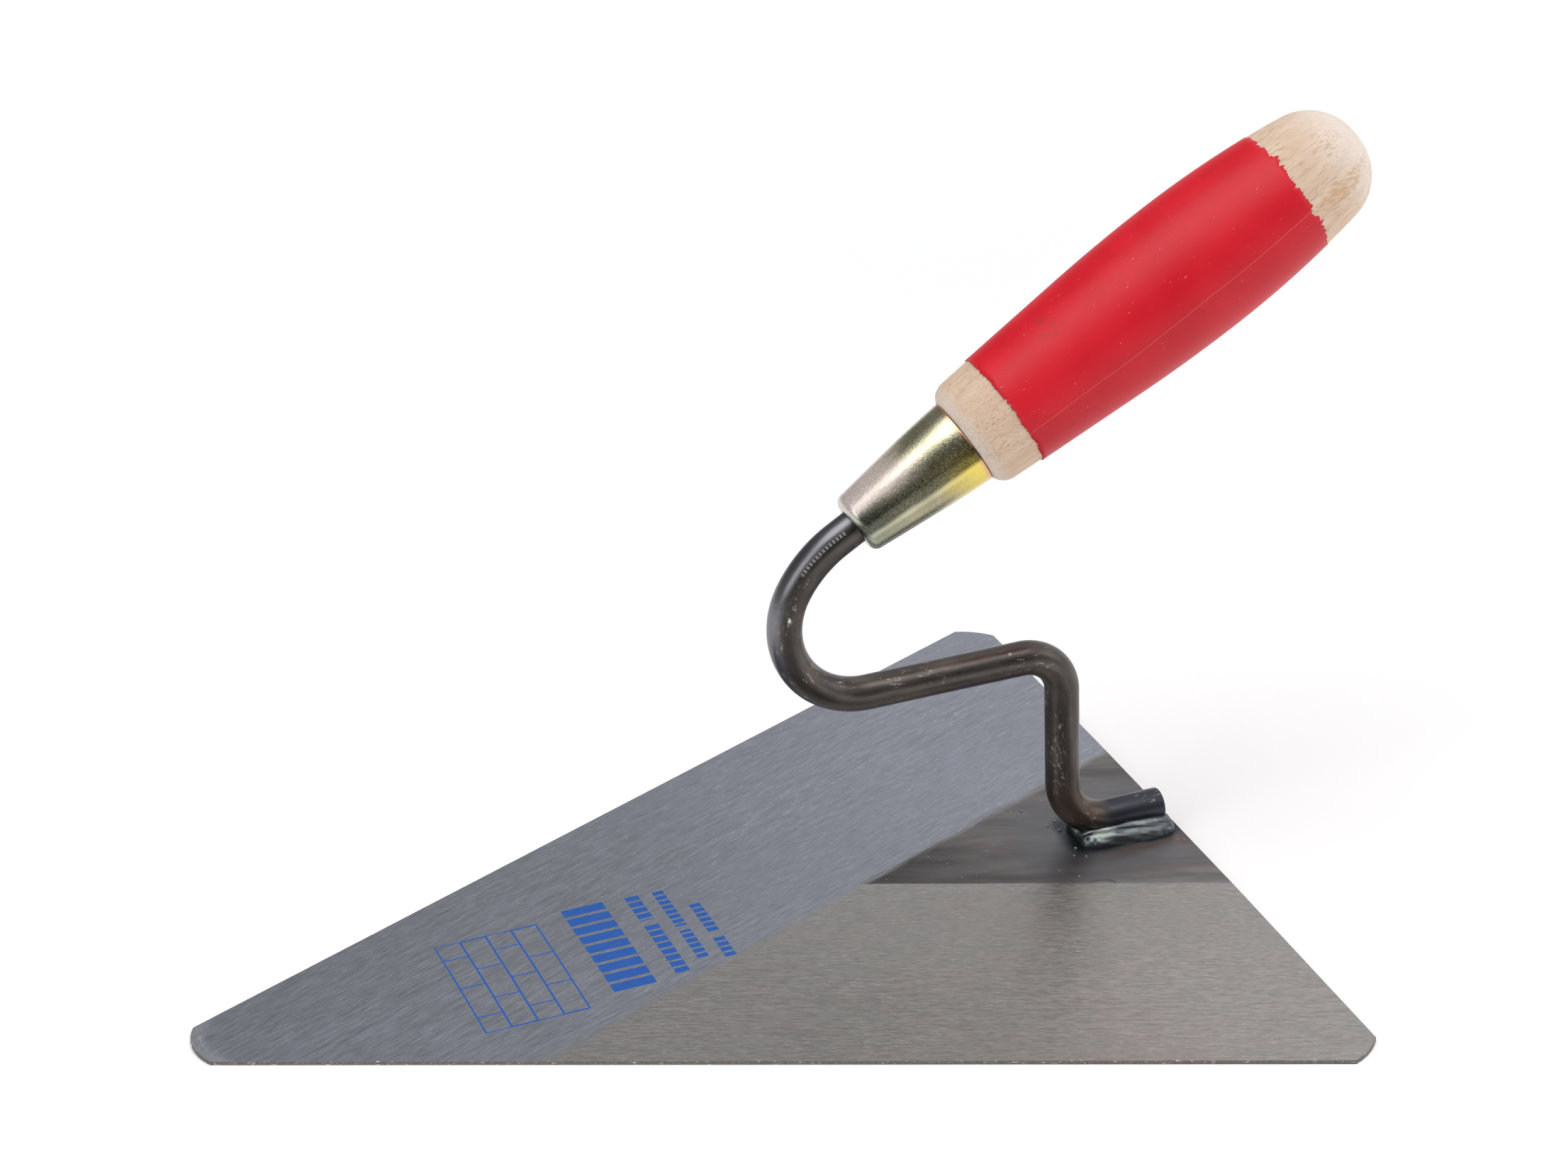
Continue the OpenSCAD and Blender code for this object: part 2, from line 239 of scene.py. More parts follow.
def top_material():
    made, place = new_material("linished_steel_top")
    x, y, z = place.xyz()
    # How far a point lies in from the far and the near edge
    cos_side, sin_side = math.cos(side_angle), math.sin(side_angle)
    ahead = x - heel
    from_far = (y + heel_half) * cos_side - ahead * sin_side
    from_near = (heel_half - y) * cos_side - ahead * sin_side
    ragged = (place.seen_from(turn=(0, 0, side_angle), size=(9, 0.6, 1)).noise(detail=3) - 0.5) * 5
    far = (from_far + ahead * 0.018 + ragged).smooth(band_far + 2.2, band_far - 1.6)
    near = (from_near + ragged * 0.1).smooth(band_near + 0.35, band_near - 0.35)
    ground = far.most(near)

    # The two bands: marks, stains and painted glints along each edge, and a worn rim round the nose
    far_marks = strokes(place, side_angle)
    near_marks = strokes(place, -side_angle, 7, 0.34)
    marks = far.blend(near_marks, far_marks)
    cloud = place.noise(55, 2)
    shine = far.blend(glints(place, -side_angle, 1.2), glints(place, side_angle, 1.2))
    stained = place.seen_from(turn=(0, 0, -side_angle), size=(11, 4, 1))
    stained = stained.noise(detail=2).smooth(0.3, 0.7)
    band = stained.mix(steel_green, steel_warm)
    # The far band's bluer steel against the near band's warmer steel is partly the steel's own
    # tint, partly painted reflection of how each band's strokes throw back the light
    band = far.mix(band, steel_blue)
    # Painted shade: the bands are darkened towards the nose
    band = band.tone((0.74 + marks * 0.36 + cloud * 0.10) * (1.03 - x.smooth(0, 150) * 0.20))
    tip_marks = place.seen_from(size=(0.3, 5, 1)).noise(detail=2).smooth(0.5, 0.75)
    from_nose_centre = ((x - nose_centre) * (x - nose_centre) + y * y).math("SQRT")
    at_tip = from_nose_centre.smooth(12.2, 15.8) * x.smooth(nose_chord - 8, nose_chord - 2)
    band = (at_tip * (0.22 + tip_marks * 0.5)).mix(band, (0.80, 0.81, 0.83))
    # Painted glints: the scratches are laid lighter into the colour where they would catch the
    # light
    band = (shine * 0.6).mix(band, (0.85, 0.86, 0.88))

    # The heel's mill scale, tinted round the welds, with a ring left by a drop of water
    wisps = place.seen_from(turn=(0, 0, -0.42), size=(34, 7, 1)).noise(detail=4, rough=0.55)
    wander = (place.noise(9, 3) - 0.5) * 9
    off_side = (abs(y) - 6).most(0.0)
    off_end = (abs(x - weld_middle) - weld_half).most(0.0)
    off_weld = (off_side * off_side + off_end * off_end).math("SQRT") + wander
    scale = wisps.smooth(0.30, 0.74).mix(scale_dark, scale_tan)
    browned = place.seen_from(turn=(0, 0, -0.2), size=(26, 6, 1)).noise(detail=4).smooth(0.52, 0.66)
    scale = (browned * 0.55).mix(scale, (0.20, 0.158, 0.135))
    scale = (off_weld.smooth(24, 10) * 0.7).mix(scale, tint_blue)
    rusty = off_weld.smooth(3, 6) * off_weld.smooth(11, 7) * x.smooth(0, -18)
    scale = (rusty * 0.7).mix(scale, tint_rust)
    scale = off_weld.smooth(6.5, 1.5).mix(scale, tint_black)
    stain = ((x - 1) * (x - 1) + (y - 27) * (y - 27) * 1.6).math("SQRT") + wander * 0.25
    scale = (abs(stain - 4.6).smooth(0.7, 0.1) * 0.5).mix(scale, tint_black)
    # Painted shade: the scale is darkened towards the nose and lightened towards the heel
    scale = scale.tone(x.smooth(58, 2) * 0.64 + 0.46)
    dust = place.noise(0.8, 0).smooth(0.83, 0.85)
    scale = dust.mix(scale, (0.5, 0.48, 0.45))

    colour = ground.mix(scale, band)
    ink = blade_print(x, y) * (0.93 + marks.smooth(0.2, 0.34) * 0.07)
    colour = ink.mix(colour, ink_blue)
    scale_rough = 0.36 + place.noise(6, 3) * 0.16
    rough = ground.blend(scale_rough, 0.36 + marks * 0.12 - shine * 0.1)
    rough = ink.blend(rough, 0.5)
    relief = marks.bump(0.006 * mm)
    relief = (place.noise(0.35, 2) * (1 - ground)).bump(0.008 * mm, relief)
    coat(place, Base_Color=colour, Metallic=1 - ink * 0.9, Roughness=rough, Normal=relief)
    return made


def rim_material():
    made, place = new_material("sheared_edge")
    burr = place.seen_from(size=(1.6, 1.6, 0.3)).noise(detail=3)
    tear = place.seen_from(size=(0.5, 0.5, 4)).noise(detail=2)
    colour = tear.mix((0.10, 0.088, 0.078), (0.26, 0.235, 0.21))
    colour = burr.smooth(0.62, 0.70).mix(colour, (0.75, 0.73, 0.70))
    coat(place, Base_Color=colour, Metallic=1.0, Roughness=0.45, Normal=tear.bump(0.03 * mm))
    return made


def sole_material():
    made, place = new_material("linished_steel_sole")
    marks = strokes(place, 0.0, 20, 0.35)
    cloud = place.noise(70, 3)
    steel = cloud.mix(steel_warm, steel_blue)
    colour = steel.tone(0.82 + marks * 0.32)
    rough = 0.38 + marks * 0.12
    coat(place, Base_Color=colour, Metallic=1.0, Roughness=rough, Normal=marks.bump(0.006 * mm))
    return made


plate = bmesh.new()
plate.from_mesh(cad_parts["blade"].data)
bmesh.ops.remove_doubles(plate, verts=plate.verts, dist=0.001 * mm)
bmesh.ops.dissolve_limit(plate, angle_limit=math.radians(0.15), verts=plate.verts,
                         edges=plate.edges)
# Each face is of the top, of the sheared edge or of the sole
for face in plate.faces:
    face.material_index = 0 if face.normal.z > 0.5 else 2 if face.normal.z < -0.5 else 1
rim = [edge for edge in plate.edges if edge.calc_face_angle(0.0) > math.radians(60)]
rim = [edge for edge in rim if {face.material_index for face in edge.link_faces} != {1}]
bmesh.ops.bevel(plate, geom=rim, offset=rim_bevel, offset_type="OFFSET", segments=2, profile=0.5,
                affect="EDGES", material=1)
steels = [top_material(), rim_material(), sole_material()]
finish_piece(plate, "blade_plate", steels, "blade_steel", "blade")


# ---- Neck ----
# One round steel bar in its mill scale, bent cold into a foot, an upright, a crossbar and a wide
# return bend, with a forged tang that runs up inside the handle.

bar_r = 4.75 * mm
foot_len = 15.4 * mm
foot_bevel = 0.7 * mm
foot_bend_r = 14 * mm
upright_len = 29.05 * mm
top_bend_r = 12 * mm
crossbar_len = 44.8 * mm
bar_sides = 72
bend_step = math.radians(3)
foot_start = Vector((blade_low.x + 3 * mm, 0, blade_high.z + bar_r))
throat_r = 22.8 * mm
ease_r = 34.6 * mm
before_ferrule = 5.5 * mm  # bare straight bar between the last bend and the ferrule
before_tang = 42 * mm
tilt = math.radians(30)  # the handle's angle with the blade
tang_len = 78 * mm
tang_tip_r = 2.5 * mm
bar_dark = (0.088, 0.079, 0.075)
bar_brown = (0.142, 0.122, 0.108)
bar_steel = (0.27, 0.28, 0.315)
bar_blued = (0.056, 0.060, 0.073)


class BarWalk:
    """Draws a round bar out of its first ring, straight or round bends, in the plane y = 0."""

    def __init__(self, bm, start):
        self.bm = bm
        self.at = start.copy()
        self.heading = Vector((1, 0, 0))
        self.length = 0.0
        self.unbent = bm.verts.layers.float_vector.new("unbent")
        side_on = Matrix.Translation(start) @ Matrix.Rotation(math.pi / 2, 4, "Y")
        bmesh.ops.create_circle(bm, cap_ends=True, segments=bar_sides, radius=bar_r, matrix=side_on)
        for vert in bm.verts:
            vert[self.unbent] = (vert.co.y / mm, (vert.co.z - start.z) / mm, 0)
        self.ring = list(bm.edges)

    def take(self, made):
        self.ring = [part for part in made if isinstance(part, bmesh.types.BMEdge)]
        for vert in {vert for edge in self.ring for vert in edge.verts}:
            vert[self.unbent] = (*vert[self.unbent][:2], self.length / mm)

    def straight(self, length):
        made = bmesh.ops.extrude_edge_only(self.bm, edges=self.ring)["geom"]
        verts = [part for part in made if isinstance(part, bmesh.types.BMVert)]
        bmesh.ops.translate(self.bm, verts=verts, vec=self.heading * length)
        self.at += self.heading * length
        self.length += length
        self.take(made)

    def bend(self, radius, turn):
        """Turns by an angle, upwards if it is positive, on that radius of the bar's middle."""
        aside = Vector((-self.heading.z, 0, self.heading.x)) * math.copysign(1, turn)
        centre = self.at + aside * radius
        steps = round(abs(turn) / bend_step)
        for _ in range(steps):
            turned = bmesh.ops.spin(self.bm, geom=self.ring, cent=centre, axis=(0, -1, 0),
                                    dvec=(0, 0, 0), angle=turn / steps, steps=1,
                                    use_duplicate=False)
            self.length += radius * abs(turn) / steps
            self.take(turned["geom_last"])
        spun = Matrix.Rotation(-turn, 3, "Y")
        self.at = centre + spun @ (self.at - centre)
        self.heading = spun @ self.heading

    def taper(self, length, radius):
        self.straight(length)
        verts = {vert for edge in self.ring for vert in edge.verts}
        for vert in verts:
            vert.co = self.at + (vert.co - self.at) * (radius / bar_r)


def neck_material():
    made, place = new_material("mill_scale_bar")
    unbent = place.node("Attribute", {"attribute_name": "unbent"}, out="Vector")
    side, rise, along = unbent.xyz()
    lines = unbent.seen_from(size=(0.35, 0.35, 30)).noise(detail=4, rough=0.6)
    blotch = unbent.seen_from(size=(5, 5, 14)).noise(detail=4, rough=0.6)
    grit = unbent.noise(0.45, 3)
    colour = blotch.smooth(0.35, 0.68).mix(bar_dark, bar_brown)
    colour = colour.tone(0.55 + lines * 0.90)
    # Blued by the heat of the welds, with a brown band above them
    colour = along.smooth(26, 14).mix(colour, bar_blued)
    colour = (along.smooth(16, 23) * along.smooth(42, 30) * 0.6).mix(colour, (0.13, 0.085, 0.062))
    # A painted highlight along the outer side of the big bend: lighter steel laid into the colour
    bend_highlight = rise.smooth(-1.2, -4.4) * along.smooth(150, 172)
    colour = (bend_highlight * (0.35 + blotch * 0.4)).mix(colour, bar_steel)
    # Darker down the middle of that bend: a painted reflection of the dark room
    bend_dark_reflection = abs(rise + 1.2).smooth(2.6, 0.6) * side.smooth(0, 2)
    bend_dark_reflection = bend_dark_reflection * along.smooth(134, 150) * along.smooth(190, 176)
    colour = colour.tone(0.92 - bend_dark_reflection * 0.5)
    # Scuffs down the lower upright and at the bends
    scuff = unbent.seen_from(size=(0.9, 0.9, 2.2)).noise(detail=5, rough=0.7)
    scuff = scuff.smooth(0.56, 0.66) * unbent.seen_from(size=(6, 6, 10)).noise().smooth(0.50, 0.60)
    low_scuff = unbent.seen_from(size=(0.7, 0.7, 1.2)).noise(detail=4, rough=0.7)
    low_scuff = low_scuff.smooth(0.54, 0.62) * abs(along - 46).smooth(12, 4)
    low_scuff = low_scuff * abs(rise + 2.6).smooth(2.0, 0.6)
    scuff = scuff.most(low_scuff)
    colour = (scuff * 0.8).mix(colour, (0.44, 0.41, 0.37))
    # A row of small dents from the bending tool's grip, and one chip
    dent_row = along.math("PINGPONG", 0.55).smooth(0.34, 0.22)
    dent_row = dent_row * along.smooth(183, 184) * along.smooth(199, 198)
    dents = dent_row * abs(rise + 2.7).smooth(0.40, 0.28) * side.smooth(0, 1)
    chip = (abs(along - 171.5) * 0.45 + abs(rise + 0.9 + (along - 171.5) * 0.15)) * 1.1 + grit * 1.4
    chip = chip.smooth(1.25, 1.0) * side.smooth(0, 1)
    marks = dents.most(chip)
    colour = marks.mix(colour, (0.62, 0.61, 0.57))
    rough = 0.25 + blotch * 0.16 + scuff * 0.15 - bend_highlight * 0.03
    relief = lines.bump(0.02 * mm)
    relief = grit.bump(0.010 * mm, relief)
    relief = (1 - marks).bump(0.10 * mm, relief)
    coat(place, Base_Color=colour, Metallic=0.92, Roughness=rough, Normal=relief)
    return made


bar = bmesh.new()
walk = BarWalk(bar, foot_start)
walk.straight(foot_len)
walk.bend(foot_bend_r, math.radians(90))
walk.straight(upright_len)
walk.bend(top_bend_r, math.radians(-90))
walk.straight(crossbar_len)
walk.bend(throat_r, math.radians(120))
walk.bend(ease_r, math.radians(30))
ferrule_start = walk.at + walk.heading * before_ferrule
walk.straight(before_tang)
walk.taper(tang_len, tang_tip_r)
bmesh.ops.edgeloop_fill(bar, edges=walk.ring)
bmesh.ops.recalc_face_normals(bar, faces=bar.faces)
foot_rim = [edge for edge in bar.edges
            if all(abs(vert.co.x - foot_start.x) < 0.01 * mm for vert in edge.verts)]
bmesh.ops.bevel(bar, geom=foot_rim, offset=foot_bevel, offset_type="OFFSET", segments=4,
                profile=0.5, affect="EDGES", material=-1)
for face in bar.faces:
    face.smooth = len(face.verts) == 4
finish_piece(bar, "neck_bar", [neck_material()], "bar_steel", "neck")


# ---- Welds ----
# A run of weld metal along each side of the foot, rippled, with a glassy spot of slag, two gas
# pores and a few drops of spatter at the end where the arc was broken.

bead_len = 27.2 * mm
bead_rear = blade_low.x + 1.6 * mm
bead_reach = 7.9 * mm  # how far the bead's toe lies from the bar's middle plane
bead_rise = 4.3 * mm
pores = [(-4.9, 5.9), (-6.6, 7.2)]
pore_r = 0.55 * mm
pore_depth = 0.8 * mm
spatter = [  # how far ahead and aside each drop lies, and its radius
    (-1.4, 5.4, 0.45),
    (0.6, 8.8, 0.3),
    (-2.2, 10.6, 0.35),
    (7.6, 14.5, 0.25),
    (4.0, 19.5, 0.35),
]
weld_dark = (0.075, 0.085, 0.092)
weld_light = (0.22, 0.25, 0.26)
slag_green = (0.36, 0.42, 0.36)


def weld_material(name, side):
    made, place = new_material(name)
    x, y, z = place.xyz()
    swept = place.seen_from(turn=(0, 0, side * -0.30), size=(12, 1.1, 1.1))
    ripple = swept.noise(detail=2, rough=0.5)
    patch = place.noise(3.2, 3)
    colour = ripple.smooth(0.32, 0.80).mix(weld_dark, weld_light)
    colour = (patch.smooth(0.5, 0.75) * 0.5).mix(colour, (0.12, 0.10, 0.095))
    end = (x + 9.6) * 0.23
    over = (y * side - 6.0) * 0.62
    slag = (end * end + over * over).math("SQRT") + (patch - 0.5) * 0.7
    crazed = place.seen_from(size=(1.8, 0.4, 0.4)).noise(detail=2).smooth(0.2, 0.55)
    slag = slag.smooth(1.0, 0.62) * crazed
    colour = (slag * 0.8).mix(colour, slag_green)
    drops = x.smooth(-2.9, -2.7)
    colour = (drops * 0.7).mix(colour, (0.42, 0.40, 0.36))
    rough = 0.30 + ripple * 0.15 - slag * 0.12
    relief = ripple.bump(0.03 * mm)
    coat(place, Base_Color=colour, Metallic=0.85 - slag * 0.6, Roughness=rough, Normal=relief)
    return made


def weld_bead(side, seed):
    """A closed, rippled bead between foot and plate: side is 1 on the left and -1 on the right."""
    bead = bmesh.new()
    bmesh.ops.create_uvsphere(bead, u_segments=120, v_segments=150, radius=1.0)
    for vert in bead.verts:
        end, y, z = vert.co.z, vert.co.x, vert.co.y
        around = math.atan2(z, y)
        blunt = math.copysign(abs(end) ** 0.62, end)
        full = (1 - abs(end) ** 5) ** 0.5
        x = bead_rear + bead_len / 2 * (1 + blunt)
        groove = math.exp(-((around - 0.95 - 0.012 * (x - bead_rear) / mm) / 0.16) ** 2)
        lobes = 1.04 - 0.11 * groove * full
        flow = Vector((x / mm * 0.16 + 1.2 * math.cos(around), 1.6 * around, seed))
        lump = noise.noise(flow) * 0.07 + noise.noise(flow * 2.7) * 0.02
        ripple_at = Vector((x / mm * 1.1 + 2.2 * math.cos(around), around, seed + 9))
        ripple = noise.noise(ripple_at) * 0.014
        swell = (lobes + lump + ripple) * (0.35 + 0.65 * (1 - abs(end) ** 3) ** 0.4)
        spread = 1 + 0.58 * (1 - (x - bead_rear) / bead_len)
        vert.co = Vector((
            x,
            side * (bead_reach - 4.4 * mm + 4.3 * mm * spread * swell * math.cos(around)),
            blade_high.z + 0.2 * mm + (bead_rise - 0.4 * mm) * swell * math.sin(around),
        ))
        vert.co.z = max(vert.co.z, blade_high.z - 0.6 * mm)
    for vert in bead.verts:
        for ahead, aside in pores:
            pore = Vector((ahead * mm, side * aside * mm))
            near = (vert.co.xy - pore).length / pore_r
            if near < 1 and vert.co.z > blade_high.z:
                vert.co.z -= pore_depth * (1 - near * near)
    for ahead, aside, size in spatter:
        drop = Vector((ahead * mm, side * aside * mm, blade_high.z + size * 0.2 * mm))
        bmesh.ops.create_icosphere(bead, subdivisions=2, radius=size * mm,
                                   matrix=Matrix.Translation(drop))
    bmesh.ops.recalc_face_normals(bead, faces=bead.faces)
    for face in bead.faces:
        face.smooth = True
    return bead


for name, side, seed in (("left", 1, 3.1), ("right", -1, 8.4)):
    weld_metal = weld_material("weld_metal_" + name, side)
    finish_piece(weld_bead(side, seed), "weld_bead_" + name, [weld_metal], "weld_metal",
                 "weld_" + name)


# ---- Ferrule ----
# A tapered cap drawn from thin sheet steel, zinc plated and passivated yellow, so that its
# colour shifts between straw, green and rose. Its small end is pierced for the bar.

ferrule_len = 36.5 * mm
ferrule_wall = 1.0 * mm
mouth = ferrule_start + walk.heading * ferrule_len
handle_turn = (0, -tilt, math.pi)  # turns +X to the butt, with +Z still up
on_handle = Matrix.Translation(mouth) @ Euler(handle_turn).to_matrix().to_4x4()
hole_r = bar_r + 0.1 * mm
round_steps = 192
zinc_straw = (0.66, 0.63, 0.44)
zinc_olive = (0.52, 0.50, 0.33)
zinc_green = (0.41, 0.46, 0.37)
zinc_rose = (0.82, 0.67, 0.67)
zinc_gold = (0.82, 0.66, 0.16)
zinc_copper = (0.72, 0.42, 0.26)


def chain(bm, points, closed=False):
    """A line through points of (distance from the ferrule's mouth, radius), with its verts."""
    verts = [bm.verts.new((along, 0, radius)) for along, radius in points]
    for one, other in zip(verts, verts[1:]):
        bm.edges.new((one, other))
    if closed:
        bm.edges.new((verts[-1], verts[0]))
    return verts


def ease(bm, vert, offset, segments=5):
    """Rounds one corner of a line."""
    bmesh.ops.bevel(bm, geom=[vert], offset=offset, offset_type="OFFSET", segments=segments,
                    profile=0.5, affect="VERTICES", material=-1)


def turn_on_handle(bm, steps=round_steps):
    """Turns the bmesh's line once round the handle's axis and sets the result in its place."""
    bmesh.ops.spin(bm, geom=bm.verts[:] + bm.edges[:], cent=(0, 0, 0), axis=(1, 0, 0),
                   dvec=(0, 0, 0), angle=2 * math.pi, steps=steps, use_merge=True,
                   use_duplicate=False)
    bmesh.ops.remove_doubles(bm, verts=bm.verts, dist=0.0005 * mm)
    bmesh.ops.recalc_face_normals(bm, faces=bm.faces)
    for face in bm.faces:
        face.smooth = True


def ferrule_material():
    made, place = new_material("yellow_zinc")
    local = place.seen_from(origin=mouth / mm, turn=handle_turn)
    along, side, up = local.xyz()
    speck = local.noise(0.40, 3, 0.7).smooth(0.30, 0.72)
    cloud = local.seen_from(size=(14, 7, 7)).noise(detail=3, rough=0.6)
    drift = (cloud - 0.5) * 14
    colour = cloud.smooth(0.3, 0.7).mix(zinc_straw, zinc_olive)
    colour = ((along + drift).smooth(-24, -34) * 0.7).mix(colour, zinc_green)
    # A rose tint on the top of the small end, partly the passivation's own colour and partly a
    # painted reflection of the bright room above
    rose_tint_and_sheen = (along + drift).smooth(-10, -24) * (up + drift * 0.15).smooth(4.5, 7.5)
    colour = (rose_tint_and_sheen * (0.4 + speck * 0.5)).mix(colour, zinc_rose)
    golden = (along + drift * 0.7).smooth(-17, -4) * (up - drift * 0.3).smooth(8, 2)
    colour = golden.mix(colour, zinc_gold)
    colour = (along.smooth(-1.6, -0.5) * 0.8).mix(colour, zinc_copper)
    # A painted dark band below the middle, standing in for the reflection of the dark room in
    # front, with the speckle showing through
    shadow = (up + drift * 0.06).smooth(-0.9, 0.9) * up.smooth(5.2, 3.4)
    colour = colour.tone((0.88 + speck * 0.18) * (1 - shadow * (0.90 - speck * 0.25)))
    rough = 0.14 + speck * 0.13 + cloud * 0.04
    relief = speck.bump(0.010 * mm)
    relief = cloud.bump(0.10 * mm, relief)
    # Less metal on that rose top lightens it, as part of the painted reflection
    metal = 1 - speck * 0.10 - rose_tint_and_sheen * 0.48
    coat(place, Base_Color=colour, Metallic=metal, Roughness=rough, Normal=relief)
    return made


ferrule = bmesh.new()
nose_end = -ferrule_len
outline = chain(ferrule, [
    (nose_end, hole_r),
    (nose_end, 8.4 * mm),
    (-11 * mm, 11.35 * mm),
    (0, 12.15 * mm),
    (0, 11.15 * mm),
    (-11 * mm, 10.35 * mm),
    (nose_end + ferrule_wall, 7.45 * mm),
    (nose_end + ferrule_wall, hole_r),
], closed=True)
ease(ferrule, outline[1], 2.3 * mm, 10)
ease(ferrule, outline[2], 5 * mm, 8)
ease(ferrule, outline[3], 0.4 * mm)
ease(ferrule, outline[4], 0.4 * mm)
ease(ferrule, outline[6], 1.3 * mm, 6)
ease(ferrule, outline[0], 0.35 * mm)
turn_on_handle(ferrule)
bmesh.ops.transform(ferrule, matrix=on_handle, verts=ferrule.verts)
finish_piece(ferrule, "ferrule_cap", [ferrule_material()], "ferrule_zinc", "ferrule")


# ---- Handle ----
# Beech, turned on a lathe with a collar, a swell and a domed butt, left bare at both ends. A
# spigot fills the ferrule, and a bore takes the tang.

handle_len = 130.8 * mm
collar_r = 15.5 * mm
collar_edge = 5 * mm
belly_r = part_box("handle")[1].y
belly_at = 75.2 * mm
swell_len = 31 * mm
tail_r = 280 * mm
butt_edge = 15 * mm
crown_r = 26 * mm
swell_slope = math.atan((belly_r - collar_r) / (belly_at - swell_len / 2))
swell_r = swell_len / math.sin(swell_slope)
swell_height = belly_r - swell_r + swell_r * math.cos(swell_slope)
swell_start = Vector((belly_at - swell_len, 0, swell_height))
swell_centre = Vector((belly_at, 0, belly_r - swell_r))
collar_centre = Vector((collar_edge, 0, collar_r - collar_edge))
tail_centre = Vector((belly_at, 0, belly_r - tail_r))
crown_centre = Vector((handle_len - crown_r, 0, 0))
beech_pale = (0.78, 0.60, 0.465)
beech_warm = (0.68, 0.475, 0.33)
pore_brown = (0.42, 0.235, 0.125)


def butt_centre():
    """The centre of the butt's round edge, which touches the tail's curve and the crown."""
    way = crown_centre - tail_centre
    from_tail, from_crown = tail_r - butt_edge, crown_r - butt_edge
    along = (from_tail ** 2 - from_crown ** 2 + way.length_squared) / (2 * way.length)
    aside = math.sqrt(from_tail ** 2 - along ** 2)
    way.normalize()
    return tail_centre + way * along + Vector((way.z, 0, -way.x)) * aside


def angle_of(way):
    return math.atan2(way.z, way.x)


butt_middle = butt_centre()
tail_end = angle_of(butt_middle - tail_centre)
crown_start = angle_of(butt_middle - crown_centre)


def arc_on(bm, vert, centre, to_angle, steps):
    """Draws a line on from a vert, clockwise round a centre, to an angle. Returns its last vert."""
    turn = angle_of(vert.co - centre) - to_angle
    spun = bmesh.ops.spin(bm, geom=[vert], cent=centre, axis=(0, 1, 0), dvec=(0, 0, 0),
                          angle=turn, steps=steps, use_duplicate=False)
    return next(part for part in spun["geom_last"] if isinstance(part, bmesh.types.BMVert))


def line_on(bm, vert, to, steps=1):
    """Draws a line straight on from a vert, in steps. Returns its last vert."""
    stride = (to - vert.co) / steps
    for _ in range(steps):
        start = vert.co.copy()
        vert = bmesh.ops.extrude_vert_indiv(bm, verts=[vert])["verts"][0]
        vert.co = start + stride
    return vert


def wood_material():
    made, place = new_material("bare_beech")
    local = place.seen_from(origin=mouth / mm, turn=handle_turn)
    along, side, up = local.xyz()
    grain = local.seen_from(origin=(0, 40, 25), turn=(0.4, 0, 0.02), size=(60, 5, 2.2))
    grain = grain.noise(detail=4, rough=0.6)
    fibre = local.seen_from(size=(9, 0.35, 0.35)).noise(detail=3, rough=0.6)
    fleck = local.seen_from(turn=(0, 0.10, 0.12), size=(3.0, 0.33, 0.33)).noise(detail=1)
    patchy = local.noise(13, 2).smooth(0.35, 0.65)
    pores = fleck.smooth(0.56, 0.68) * (0.30 + patchy * 0.70)
    colour = grain.smooth(0.25, 0.75).mix(beech_pale, beech_warm)
    # The wood is paler towards both bare ends
    pale_ends = (along - 112).smooth(0, 16).most((along - 5).smooth(0, -5))
    colour = (pale_ends * 0.7).mix(colour, (0.88, 0.80, 0.73))
    # Painted light and shade: the wood is lighter on its underside and darker on top
    colour = colour.tone((0.90 + fibre * 0.2) * up.smooth(-8, 13).blend(1.06, 0.88))
    colour = (pores * 0.62).mix(colour, pore_brown)
    # Grain torn by the lathe on one side of the butt and of the collar
    torn_butt = ((along - 117) * 0.085).math("POWER", 2.0) + ((up - 0.6) * 0.30).math("POWER", 2.0)
    torn_collar = ((along - 4.6) * 0.24).math("POWER", 2.0) + ((up - 1.0) * 0.95).math("POWER", 2.0)
    shreds = local.seen_from(turn=(0, 0.5, 0), size=(2.2, 0.7, 0.7)).noise(detail=4, rough=0.65)
    torn = torn_butt.least(torn_collar).smooth(1.0, 0.3) * shreds.smooth(0.44, 0.60)
    torn = torn * side.smooth(0, -4)
    colour = (torn * 0.85).mix(colour, (0.68, 0.41, 0.215))
    relief = fibre.bump(0.03 * mm)
    relief = (1 - pores).bump(0.05 * mm, relief)
    relief = (torn * shreds).bump(0.07 * mm, relief)
    coat(place, Base_Color=colour, Roughness=0.62 + fibre * 0.12, Normal=relief)
    return made


wood = bmesh.new()
bore = chain(wood, [
    (79.5 * mm, 0),
    (79.5 * mm, 2.6 * mm),
    (0, hole_r),
    (-26 * mm, hole_r),
    (-26 * mm, 8.49 * mm),
    (-11 * mm, 10.25 * mm),
    (0, 11.05 * mm),
    (0.03 * mm, 11.05 * mm),
])
tip = arc_on(wood, bore[-1], collar_centre, math.pi / 2 + swell_slope, 14)
tip = line_on(wood, tip, swell_start)
tip = arc_on(wood, tip, swell_centre, math.pi / 2, 12)
tip = arc_on(wood, tip, tail_centre, tail_end, 16)
tip = arc_on(wood, tip, butt_middle, crown_start, 20)
tip = arc_on(wood, tip, crown_centre, 0, 14)
turn_on_handle(wood)
bmesh.ops.transform(wood, matrix=on_handle, verts=wood.verts)
finish_piece(wood, "handle_wood", [wood_material()], "beech", "handle")


# ---- Lacquer ----
# A red coat, dipped or sprayed between two masked rings. It has crept along the grain, so both
# of its ends are ragged, most of all the one at the butt.

coat_from = 13.4 * mm
coat_to = handle_len - 23.8 * mm
coat_proud = 0.12 * mm
coat_depth = 0.5 * mm
ragged_reach = 4 * mm
tooth_angle = math.radians(119)
lacquer_red = (0.58, 0.003, 0.014)
lacquer_bright = (0.64, 0.007, 0.020)


